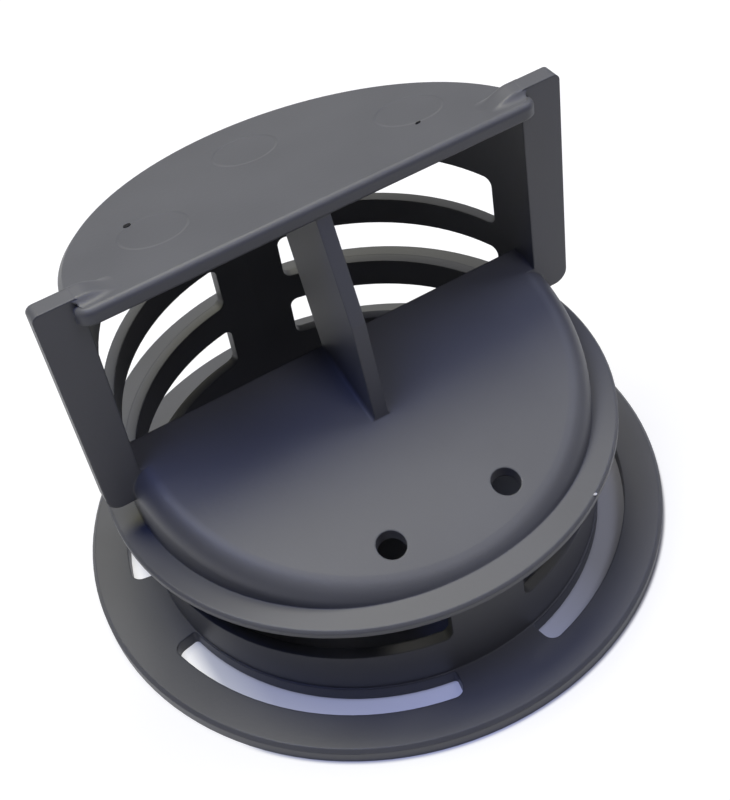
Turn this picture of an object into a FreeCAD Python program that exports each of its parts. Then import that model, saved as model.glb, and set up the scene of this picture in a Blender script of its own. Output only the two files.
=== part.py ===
import FreeCAD, Part
import math
import os
import Sketcher

# Dishwasher filter holder, moulded as one piece.
# Frame: Z up along the tube axis, origin on the underside of the flange at
# the axis. The handle mouth faces -Y, its two side fins lie along X.

doc = FreeCAD.newDocument("dishwasher_filter")
sheet = doc.addObject("Spreadsheet::Sheet", "Sizes")


class Size:
    """A size with its number and the text that an expression needs."""

    def __init__(self, value, text):
        self.value = float(value)
        self.text = text

    def join(self, other, sign, value):
        return Size(value, "(%s %s %s)" % (self.text, sign, other.text))

    def __add__(self, other):
        other = as_size(other)
        return self.join(other, "+", self.value + other.value)

    def __sub__(self, other):
        other = as_size(other)
        return self.join(other, "-", self.value - other.value)

    def __mul__(self, other):
        other = as_size(other)
        return self.join(other, "*", self.value * other.value)

    def __truediv__(self, other):
        other = as_size(other)
        return self.join(other, "/", self.value / other.value)

    def __neg__(self):
        return Size(-self.value, "(-%s)" % self.text)


def as_size(value):
    return value if isinstance(value, Size) else Size(value, repr(float(value)))


def tangent(angle):
    return Size(math.tan(math.radians(angle.value)), "tan(%s)" % angle.text)


def cosine(angle):
    return Size(math.cos(math.radians(angle.value)), "cos(%s)" % angle.text)


def size(alias, value):
    """Writes one driving size into the sheet."""
    size.row += 1
    cell = "A%d" % size.row
    sheet.set(cell, str(value))
    sheet.setAlias(cell, alias)
    return Size(value, "Sizes.%s" % alias)


size.row = 0

# Flange that seats in the sump, with four long slots
flange_thick = size("flange_thick", 2.3)
flange_rim = size("flange_rim", 5.4)
slot_width = size("slot_width", 3.8)
slot_bridge = size("slot_bridge", 21.4)
slot_corner = size("slot_corner", 1.5)
foot_land = size("foot_land", 0.2)

# Tube, drafted so that it narrows upwards
tube_radius = size("tube_radius", 32.8)
wall = size("wall", 1.6)
draft = size("draft", 1.0)

# Locating ring round the tube
ring_reach = size("ring_reach", 3.2)
ring_height = size("ring_height", 18.6)
ring_thick = size("ring_thick", 1.5)

# Sloping deck in front and sloping roof at the back
face_tilt = size("face_tilt", 15.0)
deck_height = size("deck_height", 29.9)
deck_thick = size("deck_thick", 1.6)
deck_reach = size("deck_reach", 4.2)
roof_height = size("roof_height", 58.7)
roof_thick = size("roof_thick", 2.4)
lip_depth = size("lip_depth", 2.4)
lip_inset = size("lip_inset", 0.35)
lip_corner = size("lip_corner", 2.0)

# Side fins and the strut between deck and roof
fin_thick = size("fin_thick", 2.4)
fin_foot = size("fin_foot", 25.2)
fin_corner = size("fin_corner", 2.0)
fin_proud = size("fin_proud", 0.1)
fin_rise = size("fin_rise", 1.05)
fin_ramp = size("fin_ramp", 3.0)
strut_thick = size("strut_thick", 2.0)
strut_front = size("strut_front", 9.2)
strut_bend = size("strut_bend", 12.5)
strut_bend_front = size("strut_bend_front", 6.9)
strut_top_inset = size("strut_top_inset", 0.1)
strut_lean = size("strut_lean", 12.8)

# Finger holes through the deck
hole_radius = size("hole_radius", 1.95)
hole_spread = size("hole_spread", 8.6)
hole_inset = size("hole_inset", 8.1)

# Three rows of windows in the tube wall
post_angle = size("post_angle", 19.5)
side_post = size("side_post", 14.6)
window_corner = size("window_corner", 1.3)
low_sill = size("low_sill", 9.2)
low_tall = size("low_tall", 7.3)
mid_gap = size("mid_gap", 1.2)
mid_tall = size("mid_tall", 7.7)
top_sill = size("top_sill", 33.4)
top_tall = size("top_tall", 8.2)

# Rounded edges
shoulder_round = size("shoulder_round", 3.5)
foot_round = size("foot_round", 0.6)
lip_round = size("lip_round", 0.8)
roof_bevel = size("roof_bevel", 0.7)
tip_round = size("tip_round", 1.0)
lip_bevel = size("lip_bevel", 0.3)
rim_bevel = size("rim_bevel", 0.5)
ring_bevel = size("ring_bevel", 0.35)
slot_end = size("slot_end", 0.5)

doc.recompute()

slot_inner = tube_radius + foot_land
slot_outer = slot_inner + slot_width
flange_radius = slot_outer + flange_rim
ring_radius = tube_radius + ring_reach
ring_top = ring_height + ring_thick
fin_out = ring_radius + fin_proud
fin_top = roof_height + fin_rise
deck_rise = deck_thick / cosine(face_tilt)
roof_drop = roof_thick / cosine(face_tilt)


def tube_at(height):
    """Outer radius of the drafted tube at a height."""
    return tube_radius - height * tangent(draft)


def deck_at(y):
    """Height of the deck's upper face at y."""
    return deck_height + y * tangent(face_tilt)


def roof_at(y):
    """Height of the roof's upper face at y."""
    return roof_height - y * tangent(face_tilt)


def new_body(name):
    body = doc.addObject("PartDesign::Body", name)
    body.Label = name
    return body


def new_sketch(body, name, role):
    plane = [p for p in body.Origin.OriginFeatures if p.Role == role][0]
    sketch = body.newObject("Sketcher::SketchObject", name)
    sketch.AttachmentSupport = [(plane, "")]
    sketch.MapMode = "FlatFace"
    return sketch


def fix_distance(sketch, kind, geometry, point, distance):
    index = sketch.addConstraint(
        Sketcher.Constraint(kind, -1, 1, geometry, point, distance.value))
    sketch.setExpression("Constraints[%d]" % index, distance.text)


def outline(sketch, corners):
    """Closes straight lines through corners that the sheet places."""
    corners = [(as_size(a), as_size(b)) for a, b in corners]
    points = [FreeCAD.Vector(a.value, b.value, 0) for a, b in corners]
    lines = []
    for start, end in zip(points, points[1:] + points[:1]):
        lines.append(sketch.addGeometry(Part.LineSegment(start, end)))
    for line, following in zip(lines, lines[1:] + lines[:1]):
        sketch.addConstraint(Sketcher.Constraint("Coincident", line, 2, following, 1))
    for line, (a, b) in zip(lines, corners):
        fix_distance(sketch, "DistanceX", line, 1, a)
        fix_distance(sketch, "DistanceY", line, 1, b)


def circle(sketch, across, up, radius):
    centre = FreeCAD.Vector(across.value, up.value, 0)
    arc = sketch.addGeometry(Part.Circle(centre, FreeCAD.Vector(0, 0, 1), radius.value))
    fix_distance(sketch, "DistanceX", arc, 3, across)
    fix_distance(sketch, "DistanceY", arc, 3, up)
    index = sketch.addConstraint(Sketcher.Constraint("Radius", arc, radius.value))
    sketch.setExpression("Constraints[%d]" % index, radius.text)


def turn(body, kind, name, sketch, angle=None, start=0.0):
    """Turns a sketch about the tube axis, all round or by an angle."""
    axis = [a for a in body.Origin.OriginFeatures if a.Role == "Z_Axis"][0]
    feature = body.newObject(kind, name)
    feature.Profile = sketch
    feature.ReferenceAxis = (axis, [""])
    feature.Angle = 360.0
    if angle is not None:
        feature.setExpression("Angle", angle.text)
        feature.Midplane = True
        sketch.AttachmentOffset = FreeCAD.Placement(
            FreeCAD.Vector(), FreeCAD.Rotation(FreeCAD.Vector(0, 1, 0), start))
    doc.recompute()
    return feature


def press(body, kind, name, sketch, length=None):
    """Pads or pockets a sketch evenly to both sides of its plane."""
    feature = body.newObject(kind, name)
    feature.Profile = sketch
    feature.Midplane = True
    if length is None:
        feature.Type = "ThroughAll"
    else:
        feature.setExpression("Length", length.text)
    doc.recompute()
    return feature


def edge_feature(body, name, chosen, kind, setting, amount):
    """Rounds or bevels the edges of the body's tip that a test picks out."""
    base = body.Tip
    names = []
    for index, edge in enumerate(base.Shape.Edges):
        if chosen(edge):
            names.append("Edge%d" % (index + 1))
    if not names:
        raise RuntimeError("no edge found for " + name)
    feature = body.newObject(kind, name)
    feature.Base = (base, names)
    setattr(feature, setting, amount.value)
    feature.setExpression(setting, amount.text)
    doc.recompute()
    if "Invalid" in feature.State or feature.Shape.isNull():
        raise RuntimeError(name + " has no valid shape")
    return feature


def round_edges(body, name, radius, chosen):
    return edge_feature(body, name, chosen, "PartDesign::Fillet", "Radius", radius)


def bevel_edges(body, name, width, chosen):
    return edge_feature(body, name, chosen, "PartDesign::Chamfer", "Size", width)


def around(body, name, features, count, angle=360.0):
    """Repeats features about the tube axis."""
    axis = [a for a in body.Origin.OriginFeatures if a.Role == "Z_Axis"][0]
    pattern = body.newObject("PartDesign::PolarPattern", name)
    pattern.Originals = features
    pattern.Axis = (axis, [""])
    pattern.Angle = angle
    pattern.Occurrences = count
    body.Tip = pattern
    doc.recompute()
    return pattern


def middle(edge):
    low, high = edge.ParameterRange
    return edge.valueAt((low + high) / 2)


def ends_of(edge):
    return edge.firstVertex().Point, edge.lastVertex().Point


def radius_of(point):
    return math.hypot(point.x, point.y)


def near(a, b, tolerance=0.02):
    return abs(a - b) < tolerance


# Hollow inside the tube: a drafted core without the deck and the roof
core = new_body("core")

# The foot of the tube is a straight bore up to the sill of the low windows
profile = new_sketch(core, "core_profile", "YZ_Plane")
below = as_size(-2.0)
bore_radius = tube_at(low_sill) - wall
outline(profile, [
    (as_size(0), below),
    (bore_radius, below),
    (bore_radius, low_sill),
    (tube_at(roof_height) - wall, roof_height),
    (as_size(0), roof_height),
])
turn(core, "PartDesign::Revolution", "core_cone", profile)

far = flange_radius + 10
slab = new_sketch(core, "deck_slab", "YZ_Plane")
outline(slab, [
    (-far, deck_at(-far)),
    (-far, deck_at(-far) - deck_rise),
    (deck_reach, deck_at(deck_reach) - deck_rise),
    (deck_reach, deck_at(deck_reach)),
])
press(core, "PartDesign::Pocket", "deck_left_out", slab)


def under_deck(point):
    return near(point.z, (deck_at(as_size(point.y)) - deck_rise).value)


def inner_shoulder(edge):
    """The edge of the core that lies under the deck's rim."""
    first, last = ends_of(edge)
    point = middle(edge)
    return under_deck(first) and under_deck(last) and under_deck(point) and point.y < -1


bevel_edges(core, "inner_shoulder", shoulder_round - wall, inner_shoulder)

lid = new_sketch(core, "roof_slab", "YZ_Plane")
outline(lid, [
    (-far, roof_at(-far) - roof_drop),
    (far, roof_at(far) - roof_drop),
    (far, roof_height + far),
    (-far, roof_height + far),
])
press(core, "PartDesign::Pocket", "roof_left_out", lid)

# Outer form: flange and tube in one turned outline
holder = new_body("filter_body")

profile = new_sketch(holder, "outer_profile", "YZ_Plane")
outline(profile, [
    (as_size(0), as_size(0)),
    (flange_radius, as_size(0)),
    (flange_radius, flange_thick - rim_bevel),
    (flange_radius - rim_bevel, flange_thick),
    (tube_at(flange_thick), flange_thick),
    (tube_at(roof_height), roof_height),
    (as_size(0), roof_height),
])
turn(holder, "PartDesign::Revolution", "outer_form", profile)

# The roof slopes down to the back
crown = new_sketch(holder, "crown_outline", "YZ_Plane")
outline(crown, [
    (-far, roof_at(-far)),
    (far, roof_at(far)),
    (far, roof_height + far * 2),
    (-far, roof_height + far * 2),
])
press(holder, "PartDesign::Pocket", "crown", crown)


def on_deck(point):
    return near(point.z, deck_at(as_size(point.y)).value)


def on_roof(point):
    return near(point.z, roof_at(as_size(point.y)).value)


def under_roof(point):
    return near(point.z, (roof_at(as_size(point.y)) - roof_drop).value)


def roof_edge(edge):
    """The closed edge round the top of the tube."""
    return on_roof(middle(edge)) and on_roof(edge.firstVertex().Point)


bevel_edges(holder, "roof_edge", roof_bevel, roof_edge)

# The mouth: everything in front above the deck is open
mouth = new_sketch(holder, "mouth_outline", "YZ_Plane")
outline(mouth, [
    (as_size(0), deck_height),
    (as_size(0), roof_height + far),
    (-far, roof_height + far),
    (-far, deck_at(-far)),
])
press(holder, "PartDesign::Pocket", "mouth", mouth)


def shoulder(edge):
    """The rim of the deck."""
    first, last = ends_of(edge)
    point = middle(edge)
    return on_deck(first) and on_deck(last) and on_deck(point) and point.y < -1


round_edges(holder, "shoulder", shoulder_round, shoulder)

# Locating ring, rooted in the tube's wall
ring = new_sketch(holder, "ring_section", "YZ_Plane")
ring_root = tube_at(ring_top) - wall / 2
outline(ring, [
    (ring_root, ring_height),
    (ring_radius - ring_bevel, ring_height),
    (ring_radius, ring_height + ring_bevel),
    (ring_radius, ring_top - ring_bevel),
    (ring_radius - ring_bevel, ring_top),
    (ring_root, ring_top),
])
turn(holder, "PartDesign::Revolution", "ring", ring)

hollow = holder.newObject("PartDesign::Boolean", "hollow")
hollow.setObjects([core])
hollow.Type = "Cut"
holder.Tip = hollow
doc.recompute()

# Side fins from above the ring to the roof, level on top and a little higher
fins = new_sketch(holder, "fin_outline", "XZ_Plane")
fin_root = tube_at(roof_height) - wall / 2
roof_core = roof_at(fin_thick) - roof_drop / 2
for side in (as_size(1), as_size(-1)):
    outline(fins, [
        (side * fin_root, fin_foot),
        (side * fin_out, fin_foot),
        (side * fin_out, fin_top),
        (side * (fin_root - lip_inset), fin_top),
        (side * (fin_root - lip_inset - fin_ramp), roof_at(fin_thick)),
        (side * (fin_root - lip_inset - fin_ramp), roof_core),
        (side * fin_root, roof_core),
    ])
fin_pad = holder.newObject("PartDesign::Pad", "fins")
fin_pad.Profile = fins
fin_pad.setExpression("Length", fin_thick.text)
fin_pad.Reversed = True
doc.recompute()

# Overhanging front edge of the roof
lip_half = tube_at(roof_height) - lip_inset
lip = new_sketch(holder, "lip_outline", "YZ_Plane")
outline(lip, [
    (-lip_depth, roof_at(-lip_depth)),
    (-lip_depth, roof_at(-lip_depth) - roof_drop),
    (wall / 2, roof_at(wall / 2) - roof_drop),
    (wall / 2, roof_at(wall / 2)),
])
press(holder, "PartDesign::Pad", "lip", lip, lip_half * 2)


def lip_corners(edge):
    """Upright edges at the two front corners of the lip."""
    a, b = ends_of(edge)
    upright = near(a.x, b.x) and near(a.y, b.y)
    return upright and near(abs(a.x), lip_half.value) and near(a.y, -lip_depth.value)


round_edges(holder, "lip_corners", lip_corner, lip_corners)


def roof_front(edge):
    """Upper edges of the lip, from fin to fin."""
    a, b = ends_of(edge)
    point = middle(edge)
    return on_roof(a) and on_roof(b) and on_roof(point) and point.y < -0.05


def roof_front_below(edge):
    a, b = ends_of(edge)
    point = middle(edge)
    ahead = point.y < -lip_depth.value / 2
    return under_roof(a) and under_roof(b) and under_roof(point) and ahead


round_edges(holder, "roof_front", lip_round, roof_front)
bevel_edges(holder, "roof_front_below", lip_bevel, roof_front_below)

# Strut from the deck to the roof, leaning back, with a bend in its front edge
strut = new_sketch(holder, "strut_outline", "YZ_Plane")
strut_back = deck_reach + (roof_height - deck_height) * tangent(strut_lean)
strut_top = strut_top_inset - lip_depth
outline(strut, [
    (-strut_front, deck_at(-strut_front) - deck_rise / 2),
    (deck_reach, deck_at(deck_reach) - deck_rise / 2),
    (strut_back, roof_at(strut_back) - roof_drop / 2),
    (strut_top, roof_at(strut_top) - roof_drop / 2),
    (strut_top, roof_at(strut_top) - roof_drop),
    (-strut_bend_front, deck_height + strut_bend),
])
press(holder, "PartDesign::Pad", "strut", strut, strut_thick)

# Two round holes through the deck
holes = new_sketch(holder, "hole_circles", "XY_Plane")
hole_forward = tube_radius - hole_inset
circle(holes, hole_spread, -hole_forward, hole_radius)
circle(holes, -hole_spread, -hole_forward, hole_radius)
press(holder, "PartDesign::Pocket", "holes", holes)


def cut_sector(name, inner, outer, low, high, angle, start):
    """Cuts a ring sector, centred on the start azimuth."""
    sketch = new_sketch(holder, name + "_section", "XZ_Plane")
    outline(sketch, [(inner, low), (outer, low), (outer, high), (inner, high)])
    return turn(holder, "PartDesign::Groove", name, sketch, angle, start)


# Four slots through the flange, close round the tube
slot_angle = Size(90, "90") - slot_bridge
slot = cut_sector("slot", slot_inner, slot_outer, as_size(-1),
                  flange_thick + 1, slot_angle, 45.0)
around(holder, "slots", [slot], 4)

# Low windows all round, below the ring
window_in = tube_at(roof_height) - wall * 3
window_out = tube_radius + wall
low_angle = Size(90, "90") - post_angle
low_window = cut_sector("low_window", window_in, window_out, low_sill,
                        low_sill + low_tall, low_angle, 45.0)
around(holder, "low_windows", [low_window], 4)

# Two rows of windows in the back half, a pair in each row
side_angle = Size(90, "90") - side_post - post_angle / 2
mid_sill = ring_top + mid_gap


def back_pair(name, sill, tall):
    """A window on each side of the back post."""
    pair = []
    for side, start in (("right", 1), ("left", -1)):
        middle_angle = side_post.value + side_angle.value / 2
        start_angle = 90.0 - start * (90.0 - middle_angle)
        window = cut_sector(name + "_" + side, window_in, window_out, sill,
                            sill + tall, side_angle, start_angle)
        pair.append(window)
    return pair


back_pair("mid_window", mid_sill, mid_tall)
back_pair("top_window", top_sill, top_tall)


def window_corners(edge):
    """Short radial edges through the tube wall."""
    a, b = ends_of(edge)
    inside = min(radius_of(a), radius_of(b))
    level = near(a.z, b.z) and a.z > flange_thick.value + 1
    radial = near(a.x * b.y, a.y * b.x, 0.5)
    through = abs(edge.Length - wall.value) < 0.2
    aside = abs(a.y) > wall.value
    return level and radial and through and aside and inside > window_in.value


def slot_corners(edge):
    """Upright edges at the outer ends of the flange slots."""
    a, b = ends_of(edge)
    upright = near(a.x, b.x) and near(a.y, b.y)
    return upright and near(radius_of(a), slot_outer.value) and near(radius_of(b), slot_outer.value)


def slot_ends(edge):
    """Upright edges at the inner ends of the flange slots."""
    a, b = ends_of(edge)
    upright = near(a.x, b.x) and near(a.y, b.y)
    return upright and near(radius_of(a), slot_inner.value)


round_edges(holder, "window_corners", window_corner, window_corners)
round_edges(holder, "slot_corners", slot_corner, slot_corners)
round_edges(holder, "slot_ends", slot_end, slot_ends)


def strut_foot(edge):
    """The two long edges between strut and deck."""
    a, b = ends_of(edge)
    point = middle(edge)
    return on_deck(a) and on_deck(b) and near(abs(point.x), strut_thick.value / 2)


def fin_feet(edge):
    a, b = ends_of(edge)
    outside = near(abs(a.x), fin_out.value) and near(abs(b.x), fin_out.value)
    return outside and near(a.z, fin_foot.value) and near(b.z, fin_foot.value)


def fin_tips(edge):
    a, b = ends_of(edge)
    outside = near(abs(a.x), fin_out.value) and near(abs(b.x), fin_out.value)
    return outside and near(a.z, fin_top.value) and near(b.z, fin_top.value)


round_edges(holder, "strut_foot", foot_round, strut_foot)
round_edges(holder, "fin_feet", fin_corner, fin_feet)
round_edges(holder, "fin_tips", tip_round, fin_tips)

for item in doc.Objects:
    if "Invalid" in item.State or "Error" in item.State:
        raise RuntimeError("%s failed: %s" % (item.Name, item.State))

shape = holder.Shape
if shape.isNull() or not shape.isValid():
    raise RuntimeError("filter_body has no valid shape")
print("solids", len(shape.Solids), "volume", round(shape.Volume, 1),
      "faces", len(shape.Faces), "edges", len(shape.Edges))
print("box", shape.BoundBox)

os.makedirs("parts", exist_ok=True)
shape.exportStep("parts/filter_body.step")
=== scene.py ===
import math

import bmesh
import bpy
from bpy.props import FloatProperty, FloatVectorProperty, PointerProperty
from mathutils import Matrix, Vector


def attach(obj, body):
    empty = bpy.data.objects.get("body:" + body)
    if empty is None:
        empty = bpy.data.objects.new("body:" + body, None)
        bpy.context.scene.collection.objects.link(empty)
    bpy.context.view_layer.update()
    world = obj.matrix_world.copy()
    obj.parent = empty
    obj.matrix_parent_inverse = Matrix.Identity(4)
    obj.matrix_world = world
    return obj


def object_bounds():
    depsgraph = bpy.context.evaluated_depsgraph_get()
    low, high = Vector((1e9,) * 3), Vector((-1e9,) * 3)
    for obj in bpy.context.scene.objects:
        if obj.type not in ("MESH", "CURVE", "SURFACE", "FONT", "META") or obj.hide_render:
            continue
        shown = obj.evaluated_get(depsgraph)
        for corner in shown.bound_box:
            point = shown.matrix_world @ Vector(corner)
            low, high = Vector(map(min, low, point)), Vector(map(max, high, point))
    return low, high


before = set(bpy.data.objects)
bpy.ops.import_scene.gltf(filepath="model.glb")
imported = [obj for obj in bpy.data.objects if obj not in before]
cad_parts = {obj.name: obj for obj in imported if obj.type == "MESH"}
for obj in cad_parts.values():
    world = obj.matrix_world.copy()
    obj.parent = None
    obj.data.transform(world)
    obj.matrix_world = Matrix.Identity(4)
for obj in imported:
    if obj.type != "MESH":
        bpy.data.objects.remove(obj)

bl_info = {
    "name": "Dishwasher Filter Holder",
    "version": (1, 1, 0),
    "blender": (4, 5, 0),
    "location": "View3D > Sidebar > Filter Holder",
    "description": "Plastic finish, moulding marks and studio for a dishwasher filter holder",
    "category": "Add Mesh",
}

NODE = "filter_body"
BODY = "root"
CAD_LOW, CAD_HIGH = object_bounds()
FLANGE_RADIUS = CAD_HIGH[0]

# The roof is a plane that falls towards the back
ROOF_FRONT_HEIGHT = 0.0587
ROOF_SLOPE = math.radians(15)

# Edges that meet at less than this angle are shaded as one smooth face
SMOOTH_ANGLE = math.radians(40)

# Shallow round marks that the mould's pins left in the roof: x, y and radius
PIN_MARKS = (
    (-0.0172, 0.0102, 0.0045),
    (0.0199, 0.0108, 0.0045),
    (0.0004, 0.0212, 0.0044),
)
# Below this height the pins' marks are masked off
MARKS_ABOVE = 0.046

# Where the gate scar and the nick lie on the roof, and the fleck on the ring
GATE_PLACE = (-0.01914, 0.0146)
NICK_PLACE = (0.01858, 0.00607)
FLECK_PLACE = (0.0179, -0.0310, 0.0201)
FLECK_RADIUS = 0.00022
FLECK_STRETCH = (1.3, 0.9, 0.5)
# How far a scar's rim stands above the roof and how deep its foot is sunk
SCAR_RIM = 0.00012
SCAR_FOOT = 0.00025

# The web that blends the roof into the top of a fin. Outwards from the middle it
# starts at WEB_INNER, is as high as the fin from WEB_LEVEL and ends at WEB_OUTER
FIN_TOP = CAD_HIGH[2]
WEB_INNER = 0.0248
WEB_LEVEL = 0.0298
WEB_OUTER = 0.03137
# From front to back it swells up to WEB_COVE, stays to WEB_FALL and ends at WEB_BACK
WEB_FRONT = -0.0016
WEB_COVE = 0.0001
WEB_COVE_POWER = 2.4
WEB_FALL = 0.0023
WEB_BACK = 0.0044
# It starts this far below the roof and ends this far below the fin's top
WEB_ROOF_DIP = 0.00003
WEB_TOP_DIP = 0.00002
WEB_THICKNESS = 0.0006
WEB_COLUMNS, WEB_ROWS = 26, 30
# Rounded end of the roof's lip, which the web's outer edge follows in front
NOSE_CENTRE = (0.02942, -0.0004)
NOSE_FLAT_RADIUS = 0.00125
NOSE_END = 0.0001

# The floor is lifted for the camera outside the tube only, over this band of radii: to white
# round the part, and with painted light and shade under the flange
LIFT_FROM, LIFT_TO = 0.0325, 0.0335
# Width of the change from the painted light and shade on the floor under the flange to the
# white floor round it
SLOT_PAINT_BLEND = 0.0006
# Painted light and shade on the floor seen through the slots, from the flange's left edge at 0
# to its right edge at 1: lit white, then lavender, then grey where the part's shadow falls
SLOT_PAINTED_LIGHT = (
    (0.088, (1.0, 1.0, 1.0)),
    (0.115, (0.36, 0.38, 0.46)),
    (0.17, (0.24, 0.26, 0.38)),
    (0.42, (0.28, 0.31, 0.52)),
    (0.62, (0.14, 0.15, 0.22)),
    (0.74, (0.07, 0.07, 0.08)),
)
FLOOR_SIZE = 6.0

# Lamps: name, heading and height in degrees, and colour times share of the light
LAMPS = (
    ("key", 135, 68, (0.142, 0.139, 0.102)),
    ("back", 68, 69, (0.122, 0.119, 0.103)),
    ("left", 185, 70, (0.026, 0.034, 0.088)),
    ("front", 295, 60, (0.042, 0.042, 0.050)),
    ("right", 0, 45, (0.042, 0.045, 0.059)),
)
LAMP_AIM = (0, 0, 0.03)


# Settings

class FilterPlasticSettings(bpy.types.PropertyGroup):
    """Finish of the moulded plastic"""
    base_color: FloatVectorProperty(
        name="Plastic colour", description="Colour of the charcoal plastic",
        default=(0.130, 0.131, 0.140), min=0, max=1, size=3, subtype="COLOR")
    roughness: FloatProperty(
        name="Roughness", description="Mean roughness of the moulded skin",
        default=0.46, min=0.05, max=1, subtype="FACTOR")
    edge_radius: FloatProperty(
        name="Edge radius", description="Rounding that every moulded edge shows",
        default=0.00035, min=0, max=0.002, unit="LENGTH")
    grain_size: FloatProperty(
        name="Grain size", description="Size of the mould's fine texture",
        default=0.0005, min=0.0001, max=0.005, unit="LENGTH")
    grain_depth: FloatProperty(
        name="Grain depth", description="Depth of the mould's fine texture",
        default=0.000012, min=0, max=0.001, unit="LENGTH")


class FilterMarkSettings(bpy.types.PropertyGroup):
    """Marks that the mould left"""
    pin_depth: FloatProperty(
        name="Pin mark depth", description="Depth of the round pin marks in the roof",
        default=0.00010, min=0, max=0.001, unit="LENGTH")
    pin_edge: FloatProperty(
        name="Pin mark edge", description="Width of the soft edge of a pin mark",
        default=0.00050, min=0.0001, max=0.003, unit="LENGTH")
    gate_radius: FloatProperty(
        name="Gate radius", description="Radius of the scar where the gate broke off",
        default=0.00046, min=0.0002, max=0.003, unit="LENGTH")
    # The scars' near-black colour is painted shade, standing in for the shade in their pits
    scar_shade_color: FloatVectorProperty(
        name="Scar colour", description="Colour of the near-black painted shade of the pit in the gate scar",
        default=(0.010, 0.010, 0.011), min=0, max=1, size=3, subtype="COLOR")
    fleck_color: FloatVectorProperty(
        name="Fleck colour", description="Colour of the pale fleck on the ring",
        default=(0.62, 0.62, 0.64), min=0, max=1, size=3, subtype="COLOR")


class FilterCameraSettings(bpy.types.PropertyGroup):
    """Viewpoint of the picture"""
    place: FloatVectorProperty(
        name="Place", description="Camera position, from the tube axis on the floor",
        default=(-0.049774, -0.123946, 0.160986), size=3, subtype="TRANSLATION")
    heading: FloatProperty(
        name="Heading", description="Turn to the right of straight ahead",
        default=0.3946, subtype="ANGLE")
    pitch: FloatProperty(
        name="Pitch", description="Tilt below the horizon",
        default=0.8031, subtype="ANGLE")
    roll: FloatProperty(
        name="Roll", description="Roll of the camera about its own line of sight",
        default=-0.1882, subtype="ANGLE")
    lens: FloatProperty(
        name="Lens", description="Focal length on a 36 mm sensor, in millimetres",
        default=62.87, min=10, max=300)


class FilterStudioSettings(bpy.types.PropertyGroup):
    """Floor and lights"""
    floor_color: FloatVectorProperty(
        name="Floor colour", description="Colour of the pale floor",
        default=(0.38, 0.38, 0.39), min=0, max=1, size=3, subtype="COLOR")
    floor_white: FloatProperty(
        name="Floor white", description="How far the floor round the part is lifted to white",
        default=0.74, min=0, max=1, subtype="FACTOR")
    sky_color: FloatVectorProperty(
        name="Sky colour", description="Colour of the even light from all round",
        default=(0.75, 0.82, 1.0), min=0, max=1, size=3, subtype="COLOR")
    sky_strength: FloatProperty(
        name="Sky strength", description="Even light from all round",
        default=0.02, min=0, max=5)
    lamp_distance: FloatProperty(
        name="Lamp distance", description="From the middle of the part to each lamp",
        default=0.45, min=0.1, max=5, unit="LENGTH")
    lamp_size: FloatProperty(
        name="Lamp size", description="Diameter of each round lamp",
        default=0.20, min=0.01, max=2, unit="LENGTH")
    lamp_level: FloatProperty(
        name="Lamp level", description="Brightness of all the lamps together",
        default=1.0, min=0, max=10)


class FilterSettings(bpy.types.PropertyGroup):
    """All settings of the filter holder's scene"""
    plastic: PointerProperty(type=FilterPlasticSettings, name="Plastic")
    marks: PointerProperty(type=FilterMarkSettings, name="Mould marks")
    camera: PointerProperty(type=FilterCameraSettings, name="Camera")
    studio: PointerProperty(type=FilterStudioSettings, name="Studio")


# Material helpers

def new_material(name):
    material = bpy.data.materials.new(name)
    material.use_nodes = True
    material.node_tree.nodes.clear()
    return material


def add_node(material, kind, **inputs):
    """Adds a node and sets the inputs named in it."""
    node = material.node_tree.nodes.new(kind)
    for key, value in inputs.items():
        node.inputs[key.replace("_", " ")].default_value = value
    return node


def link(material, source, target):
    material.node_tree.links.new(source, target)


def add_math(material, operation, first, second):
    """Joins two sockets, or a socket and a number, by arithmetic."""
    node = add_node(material, "ShaderNodeMath")
    node.operation = operation
    for socket, value in zip(node.inputs, (first, second)):
        if isinstance(value, (int, float)):
            socket.default_value = value
        else:
            link(material, value, socket)
    return node.outputs[0]


def soft_step(material, value, low, high, before, after):
    """A smooth change from one level to another as a value passes a band."""
    node = add_node(material, "ShaderNodeMapRange")
    node.interpolation_type = "SMOOTHSTEP"
    for key, level in (("From Min", low), ("From Max", high),
                       ("To Min", before), ("To Max", after)):
        node.inputs[key].default_value = level
    link(material, value, node.inputs["Value"])
    return node.outputs["Result"]


def flat_distance(material, place, centre):
    """Distance from an upright axis through a centre."""
    flat = add_node(material, "ShaderNodeVectorMath")
    flat.operation = "MULTIPLY"
    flat.inputs[1].default_value = (1, 1, 0)
    link(material, place, flat.inputs[0])
    reach = add_node(material, "ShaderNodeVectorMath")
    reach.operation = "DISTANCE"
    reach.inputs[1].default_value = (centre[0], centre[1], 0)
    link(material, flat.outputs["Vector"], reach.inputs[0])
    return reach.outputs["Value"]


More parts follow.
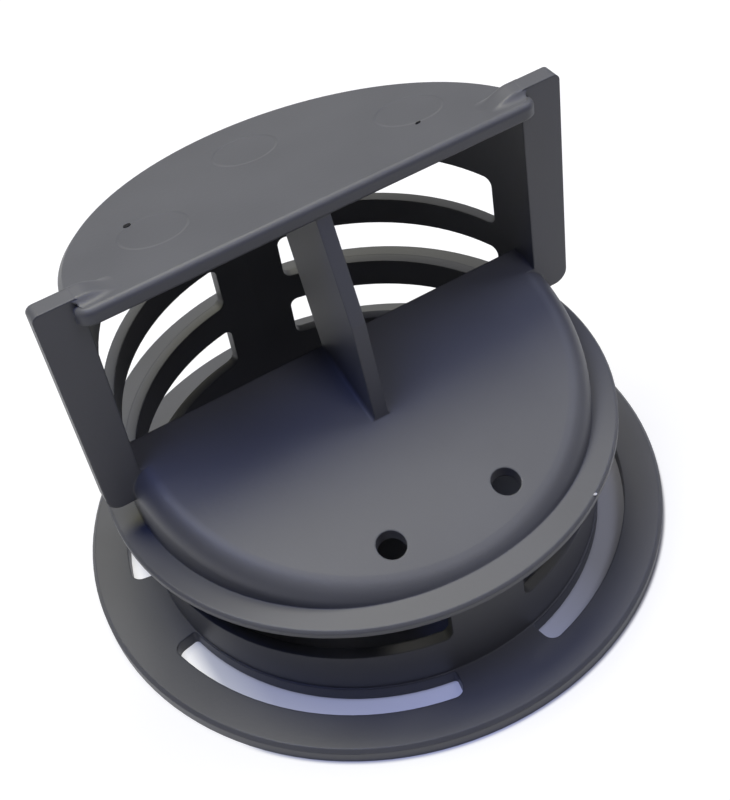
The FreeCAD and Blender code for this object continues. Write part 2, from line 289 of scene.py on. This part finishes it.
def moulded_plastic(name, plastic, marks):
    """Charcoal plastic with a fine grain, soft cloudy gloss, rounded edges and pin marks."""
    material = new_material(name)
    output = add_node(material, "ShaderNodeOutputMaterial")
    shader = add_node(material, "ShaderNodeBsdfPrincipled")
    link(material, shader.outputs["BSDF"], output.inputs["Surface"])
    place = add_node(material, "ShaderNodeTexCoord").outputs["Object"]
    tint_spread = 0.05
    gloss_spread = 0.06

    cloud = add_node(material, "ShaderNodeTexNoise", Scale=70.0, Detail=4.0)
    link(material, place, cloud.inputs["Vector"])
    tint = add_node(material, "ShaderNodeValToRGB")
    base = tuple(plastic.base_color)
    tint.color_ramp.elements[0].position = 0.3
    tint.color_ramp.elements[0].color = tuple(c * (1 - tint_spread) for c in base) + (1.0,)
    tint.color_ramp.elements[1].position = 0.7
    tint.color_ramp.elements[1].color = tuple(c * (1 + tint_spread) for c in base) + (1.0,)
    link(material, cloud.outputs["Fac"], tint.inputs["Fac"])
    link(material, tint.outputs["Color"], shader.inputs["Base Color"])

    gloss = add_node(material, "ShaderNodeMapRange")
    gloss.inputs["To Min"].default_value = plastic.roughness - gloss_spread
    gloss.inputs["To Max"].default_value = plastic.roughness + gloss_spread
    link(material, cloud.outputs["Fac"], gloss.inputs["Value"])
    link(material, gloss.outputs["Result"], shader.inputs["Roughness"])

    grain = add_node(material, "ShaderNodeTexNoise", Detail=2.0)
    grain.inputs["Scale"].default_value = 1.0 / plastic.grain_size
    link(material, place, grain.inputs["Vector"])
    height = add_math(material, "MULTIPLY", grain.outputs["Fac"], plastic.grain_depth)

    split = add_node(material, "ShaderNodeSeparateXYZ")
    link(material, place, split.inputs["Vector"])
    on_roof = add_math(material, "GREATER_THAN", split.outputs["Z"], MARKS_ABOVE)
    for x, y, radius in PIN_MARKS:
        away = flat_distance(material, place, (x, y))
        dip = soft_step(material, away, radius - marks.pin_edge / 2,
                        radius + marks.pin_edge / 2, -marks.pin_depth, 0.0)
        dip = add_math(material, "MULTIPLY", dip, on_roof)
        height = add_math(material, "ADD", height, dip)

    edges = add_node(material, "ShaderNodeBevel")
    edges.samples = 6
    edges.inputs["Radius"].default_value = plastic.edge_radius
    bump = add_node(material, "ShaderNodeBump", Strength=1.0, Distance=1.0)
    link(material, height, bump.inputs["Height"])
    link(material, edges.outputs["Normal"], bump.inputs["Normal"])
    link(material, bump.outputs["Normal"], shader.inputs["Normal"])
    return material


def speckled(name, color, roughness, size):
    """A small mark's finish: one colour, broken up by a fine speckle."""
    material = new_material(name)
    output = add_node(material, "ShaderNodeOutputMaterial")
    shader = add_node(material, "ShaderNodeBsdfPrincipled", Roughness=roughness)
    link(material, shader.outputs["BSDF"], output.inputs["Surface"])
    place = add_node(material, "ShaderNodeTexCoord").outputs["Object"]
    spread = 0.3
    noise = add_node(material, "ShaderNodeTexNoise", Detail=2.0)
    noise.inputs["Scale"].default_value = 1.0 / size
    link(material, place, noise.inputs["Vector"])
    tint = add_node(material, "ShaderNodeValToRGB")
    tint.color_ramp.elements[0].color = tuple(c * (1 - spread) for c in color) + (1.0,)
    light = tuple(min(1.0, c * (1 + spread)) for c in color)
    tint.color_ramp.elements[1].color = light + (1.0,)
    link(material, noise.outputs["Fac"], tint.inputs["Fac"])
    link(material, tint.outputs["Color"], shader.inputs["Base Color"])
    return material


def pale_floor(settings):
    """White round the part and painted with light and shade under its slots, for the camera;
    shadows are kept.
    """
    material = new_material("pale_floor")
    output = add_node(material, "ShaderNodeOutputMaterial")
    diffuse = add_node(material, "ShaderNodeBsdfDiffuse")
    diffuse.inputs["Color"].default_value = tuple(settings.floor_color) + (1.0,)
    place = add_node(material, "ShaderNodeTexCoord").outputs["Object"]
    away = flat_distance(material, place, (0, 0))
    outside = soft_step(material, away, FLANGE_RADIUS, FLANGE_RADIUS + SLOT_PAINT_BLEND, 0.0, 1.0)
    past_tube = soft_step(material, away, LIFT_FROM, LIFT_TO, 0.0, 1.0)
    rays = add_node(material, "ShaderNodeLightPath")
    seen = add_math(material, "MAXIMUM", rays.outputs["Is Camera Ray"],
                    rays.outputs["Is Glossy Ray"])
    seen = add_math(material, "MAXIMUM", seen, rays.outputs["Is Transmission Ray"])
    lift = add_math(material, "MULTIPLY", seen, past_tube)
    lift = add_math(material, "MULTIPLY", lift, settings.floor_white)
    split = add_node(material, "ShaderNodeSeparateXYZ")
    link(material, place, split.inputs["Vector"])
    across = add_node(material, "ShaderNodeMapRange")
    across.inputs["From Min"].default_value = -FLANGE_RADIUS
    across.inputs["From Max"].default_value = FLANGE_RADIUS
    link(material, split.outputs["X"], across.inputs["Value"])
    # This ramp across the flange paints light and shade on the floor seen through the slots
    shade = add_node(material, "ShaderNodeValToRGB")
    link(material, across.outputs["Result"], shade.inputs["Fac"])
    steps = shade.color_ramp.elements
    while len(steps) < len(SLOT_PAINTED_LIGHT):
        steps.new(1.0)
    for step, (position, color) in zip(steps, SLOT_PAINTED_LIGHT):
        step.position = position
        step.color = color + (1.0,)
    tint = add_node(material, "ShaderNodeMix")
    tint.data_type = "RGBA"
    link(material, outside, tint.inputs["Factor"])
    link(material, shade.outputs["Color"], tint.inputs[6])
    tint.inputs[7].default_value = (1, 1, 1, 1)
    glow = add_node(material, "ShaderNodeEmission")
    link(material, tint.outputs[2], glow.inputs["Color"])
    link(material, lift, glow.inputs["Strength"])
    both = add_node(material, "ShaderNodeAddShader")
    link(material, diffuse.outputs["BSDF"], both.inputs[0])
    link(material, glow.outputs["Emission"], both.inputs[1])
    link(material, both.outputs["Shader"], output.inputs["Surface"])
    return material


# Modelling helpers

def roof_point(x, y):
    """The point of the roof's outer face above a place on the floor."""
    return Vector((x, y, ROOF_FRONT_HEIGHT - y * math.tan(ROOF_SLOPE)))


def smooth(value, low, high):
    """Rises softly from 0 to 1 between two values."""
    t = min(1.0, max(0.0, (value - low) / (high - low)))
    return t * t * (3 - 2 * t)


def web_edge(y):
    """How far out from the middle the web reaches at a depth."""
    centre, flat = NOSE_CENTRE, NOSE_FLAT_RADIUS
    if y < centre[1]:
        return centre[0] + math.sqrt(max(0.0, flat ** 2 - (y - centre[1]) ** 2))
    return centre[0] + flat + (WEB_OUTER - centre[0] - flat) * smooth(y, centre[1], NOSE_END)


def web_point(side, along, deep):
    """A point of the web's top: fractions from the inner edge out and from front to back."""
    y = WEB_FRONT + deep * (WEB_BACK - WEB_FRONT)
    x = WEB_INNER + along * (web_edge(y) - WEB_INNER)
    low = roof_point(x, y).z - WEB_ROOF_DIP
    outward = smooth(x, WEB_INNER, WEB_LEVEL)
    high = FIN_TOP - WEB_TOP_DIP * outward
    front = min(1.0, (y - WEB_FRONT) / (WEB_COVE - WEB_FRONT)) ** WEB_COVE_POWER
    back = 1 - smooth(y, WEB_FALL, WEB_BACK)
    return Vector((side * x, y, low + (high - low) * outward * front * back))


def finish_piece(piece, name, material):
    """Names a piece, gives it its finish and lets it ride on the body."""
    piece.name = name
    piece.data.name = name
    piece.data.materials.clear()
    piece.data.materials.append(material)
    bpy.ops.object.shade_smooth_by_angle(angle=SMOOTH_ANGLE)
    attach(piece, BODY)


def select_faces(mesh, wanted):
    """In edit mode, selects the faces that a test accepts and nothing else."""
    data = bmesh.from_edit_mesh(mesh)
    bpy.ops.mesh.select_all(action="DESELECT")
    bpy.ops.mesh.select_mode(type="FACE")
    for face in data.faces:
        face.select_set(wanted(face))
    data.select_flush_mode()
    bmesh.update_edit_mesh(mesh)


def scar(name, place, radius, stretch, turn, material):
    """A low broken rim with a dished middle, set on the sloping roof."""
    rim_share, slope_share, dish_share = 0.22, 0.18, 0.8
    bpy.ops.object.select_all(action="DESELECT")
    bpy.ops.mesh.primitive_cylinder_add(vertices=24, radius=radius, depth=SCAR_RIM + SCAR_FOOT)
    piece = bpy.context.active_object
    bpy.ops.object.mode_set(mode="EDIT")
    select_faces(piece.data, lambda face: face.normal.z > 0.9)
    bpy.ops.mesh.inset(thickness=radius * rim_share)
    bpy.ops.mesh.inset(thickness=radius * slope_share)
    bpy.ops.transform.translate(value=(0, 0, -SCAR_RIM * dish_share))
    bpy.ops.mesh.select_all(action="DESELECT")
    bpy.ops.object.mode_set(mode="OBJECT")
    piece.scale = (stretch, 1, 1)
    bpy.ops.object.transform_apply(location=False, rotation=False, scale=True)
    piece.rotation_euler = (0, 0, turn)
    bpy.ops.object.transform_apply(location=False, rotation=True, scale=False)
    piece.rotation_euler = (-ROOF_SLOPE, 0, 0)
    lift = Vector((0, 0, (SCAR_RIM - SCAR_FOOT) / 2))
    piece.location = place + Matrix.Rotation(-ROOF_SLOPE, 3, "X") @ lift
    bpy.ops.object.transform_apply(location=True, rotation=True, scale=False)
    finish_piece(piece, name, material)


# Operators

class FILTER_OT_plastic(bpy.types.Operator):
    """Give the moulding its charcoal plastic"""
    bl_idname = "filter_holder.plastic"
    bl_label = "Plastic Finish"

    def execute(self, context):
        settings = context.scene.filter_holder
        material = moulded_plastic("charcoal_plastic", settings.plastic, settings.marks)
        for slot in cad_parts[NODE].material_slots:
            slot.material = material
        return {"FINISHED"}


class FILTER_OT_webs(bpy.types.Operator):
    """Blend the ends of the roof into the tops of the fins"""
    bl_idname = "filter_holder.webs"
    bl_label = "Fin Webs"

    def execute(self, context):
        plastic = bpy.data.materials["charcoal_plastic"]
        for side, name in ((-1, "fin_web_left"), (1, "fin_web_right")):
            bpy.ops.object.select_all(action="DESELECT")
            bpy.ops.mesh.primitive_grid_add(
                x_subdivisions=WEB_COLUMNS, y_subdivisions=WEB_ROWS, size=1)
            web = context.active_object
            for vertex in web.data.vertices:
                vertex.co = web_point(side, vertex.co.x + 0.5, vertex.co.y + 0.5)
            shell = web.modifiers.new("thickness", "SOLIDIFY")
            shell.thickness = WEB_THICKNESS
            shell.offset = -1 if side > 0 else 1
            bpy.ops.object.modifier_apply(modifier=shell.name)
            bpy.ops.object.mode_set(mode="EDIT")
            bpy.ops.mesh.select_all(action="SELECT")
            bpy.ops.mesh.normals_make_consistent(inside=False)
            bpy.ops.object.mode_set(mode="OBJECT")
            finish_piece(web, name, plastic)
        return {"FINISHED"}


class FILTER_OT_gate(bpy.types.Operator):
    """Set the gate scar and the small nick on the roof"""
    bl_idname = "filter_holder.gate"
    bl_label = "Gate Scar"

    def execute(self, context):
        marks = context.scene.filter_holder.marks
        # The near-black finish is painted shade for the pits of the gate scar and the nick
        pit_shade = speckled("painted_pit_shade", tuple(marks.scar_shade_color), 0.7, 0.0003)
        scar("gate_scar", roof_point(*GATE_PLACE), marks.gate_radius, 1.15,
             math.radians(20), pit_shade)
        scar("roof_nick", roof_point(*NICK_PLACE), marks.gate_radius * 0.42, 2.2,
             math.radians(12), pit_shade)
        return {"FINISHED"}


class FILTER_OT_fleck(bpy.types.Operator):
    """Set the pale fleck on the edge of the locating ring"""
    bl_idname = "filter_holder.fleck"
    bl_label = "Ring Fleck"

    def execute(self, context):
        marks = context.scene.filter_holder.marks
        bpy.ops.object.select_all(action="DESELECT")
        bpy.ops.mesh.primitive_ico_sphere_add(
            subdivisions=3, radius=FLECK_RADIUS, location=FLECK_PLACE)
        fleck = context.active_object
        fleck.scale = FLECK_STRETCH
        bpy.ops.object.transform_apply(location=True, rotation=False, scale=True)
        finish_piece(fleck, "ring_fleck",
                     speckled("pale_fleck", tuple(marks.fleck_color), 0.5, 0.0002))
        return {"FINISHED"}


class FILTER_OT_camera(bpy.types.Operator):
    """Set the camera where the picture was taken from"""
    bl_idname = "filter_holder.camera"
    bl_label = "Camera"

    def execute(self, context):
        settings = context.scene.filter_holder.camera
        data = bpy.data.cameras.new("picture_camera")
        data.lens = settings.lens
        data.sensor_width = 36.0
        data.clip_start = 0.01
        camera = bpy.data.objects.new("picture_camera", data)
        context.scene.collection.objects.link(camera)
        yaw, pitch, roll = settings.heading, settings.pitch, settings.roll
        ahead = Vector((math.sin(yaw) * math.cos(pitch),
                        math.cos(yaw) * math.cos(pitch), -math.sin(pitch)))
        across = Vector((math.cos(yaw), -math.sin(yaw), 0))
        up = across.cross(ahead)
        right = math.cos(roll) * across + math.sin(roll) * up
        top = math.cos(roll) * up - math.sin(roll) * across
        turn = Matrix((right, top, -ahead)).transposed().to_4x4()
        camera.matrix_world = Matrix.Translation(settings.place) @ turn
        context.scene.camera = camera
        return {"FINISHED"}


class FILTER_OT_studio(bpy.types.Operator):
    """Lay the pale floor and set the lights"""
    bl_idname = "filter_holder.studio"
    bl_label = "Floor and Lights"

    def execute(self, context):
        settings = context.scene.filter_holder.studio
        bpy.ops.object.select_all(action="DESELECT")
        bpy.ops.mesh.primitive_plane_add(size=FLOOR_SIZE, location=(0, 0, 0))
        floor = context.active_object
        floor.name = "floor"
        floor.data.materials.append(pale_floor(settings))
        self.sky(context, settings)
        for name, heading, height, color in LAMPS:
            self.lamp(context, settings, name, heading, height, color)
        context.scene.view_settings.view_transform = "Standard"
        return {"FINISHED"}

    def sky(self, context, settings):
        world = bpy.data.worlds.new("studio")
        context.scene.world = world
        world.use_nodes = True
        nodes, links = world.node_tree.nodes, world.node_tree.links
        light = nodes["Background"]
        light.inputs["Color"].default_value = tuple(settings.sky_color) + (1.0,)
        light.inputs["Strength"].default_value = settings.sky_strength
        white = nodes.new("ShaderNodeBackground")
        white.inputs["Color"].default_value = (1, 1, 1, 1)
        rays = nodes.new("ShaderNodeLightPath")
        mix = nodes.new("ShaderNodeMixShader")
        links.new(rays.outputs["Is Camera Ray"], mix.inputs["Fac"])
        links.new(light.outputs["Background"], mix.inputs[1])
        links.new(white.outputs["Background"], mix.inputs[2])
        links.new(mix.outputs["Shader"], nodes["World Output"].inputs["Surface"])

    def lamp(self, context, settings, name, heading, height, color):
        """A round lamp at two angles in degrees; its colour holds its share of the light."""
        heading, height = math.radians(heading), math.radians(height)
        way = Vector((math.cos(heading) * math.cos(height),
                      math.sin(heading) * math.cos(height), math.sin(height)))
        data = bpy.data.lights.new(name, "AREA")
        data.shape = "DISK"
        data.size = settings.lamp_size
        strongest = max(color)
        data.color = tuple(c / strongest for c in color)
        full = 3 * math.pi ** 2 * settings.lamp_distance ** 2
        data.energy = full * strongest * settings.lamp_level
        lamp = bpy.data.objects.new(name, data)
        context.scene.collection.objects.link(lamp)
        lamp.location = Vector(LAMP_AIM) + way * settings.lamp_distance
        lamp.rotation_euler = (-way).to_track_quat("-Z", "Y").to_euler()


class FILTER_PT_panel(bpy.types.Panel):
    """Sidebar panel with the steps and their settings"""
    bl_idname = "FILTER_PT_panel"
    bl_label = "Filter Holder"
    bl_space_type = "VIEW_3D"
    bl_region_type = "UI"
    bl_category = "Filter Holder"

    def draw(self, context):
        settings = context.scene.filter_holder
        for group, steps in (
                (settings.plastic, (FILTER_OT_plastic,)),
                (settings.marks, (FILTER_OT_webs, FILTER_OT_gate, FILTER_OT_fleck)),
                (settings.camera, (FILTER_OT_camera,)),
                (settings.studio, (FILTER_OT_studio,))):
            box = self.layout.box()
            for step in steps:
                box.operator(step.bl_idname)
            for name in group.__annotations__:
                box.prop(group, name)


CLASSES = (
    FilterPlasticSettings,
    FilterMarkSettings,
    FilterCameraSettings,
    FilterStudioSettings,
    FilterSettings,
    FILTER_OT_plastic,
    FILTER_OT_webs,
    FILTER_OT_gate,
    FILTER_OT_fleck,
    FILTER_OT_camera,
    FILTER_OT_studio,
    FILTER_PT_panel,
)


def register():
    for item in CLASSES:
        bpy.utils.register_class(item)
    bpy.types.Scene.filter_holder = PointerProperty(type=FilterSettings)


def unregister():
    del bpy.types.Scene.filter_holder
    for item in reversed(CLASSES):
        bpy.utils.unregister_class(item)


def main():
    register()
    bpy.ops.filter_holder.plastic()
    bpy.ops.filter_holder.webs()
    bpy.ops.filter_holder.gate()
    bpy.ops.filter_holder.fleck()
    bpy.ops.filter_holder.camera()
    bpy.ops.filter_holder.studio()


if __name__ == "__main__":
    main()
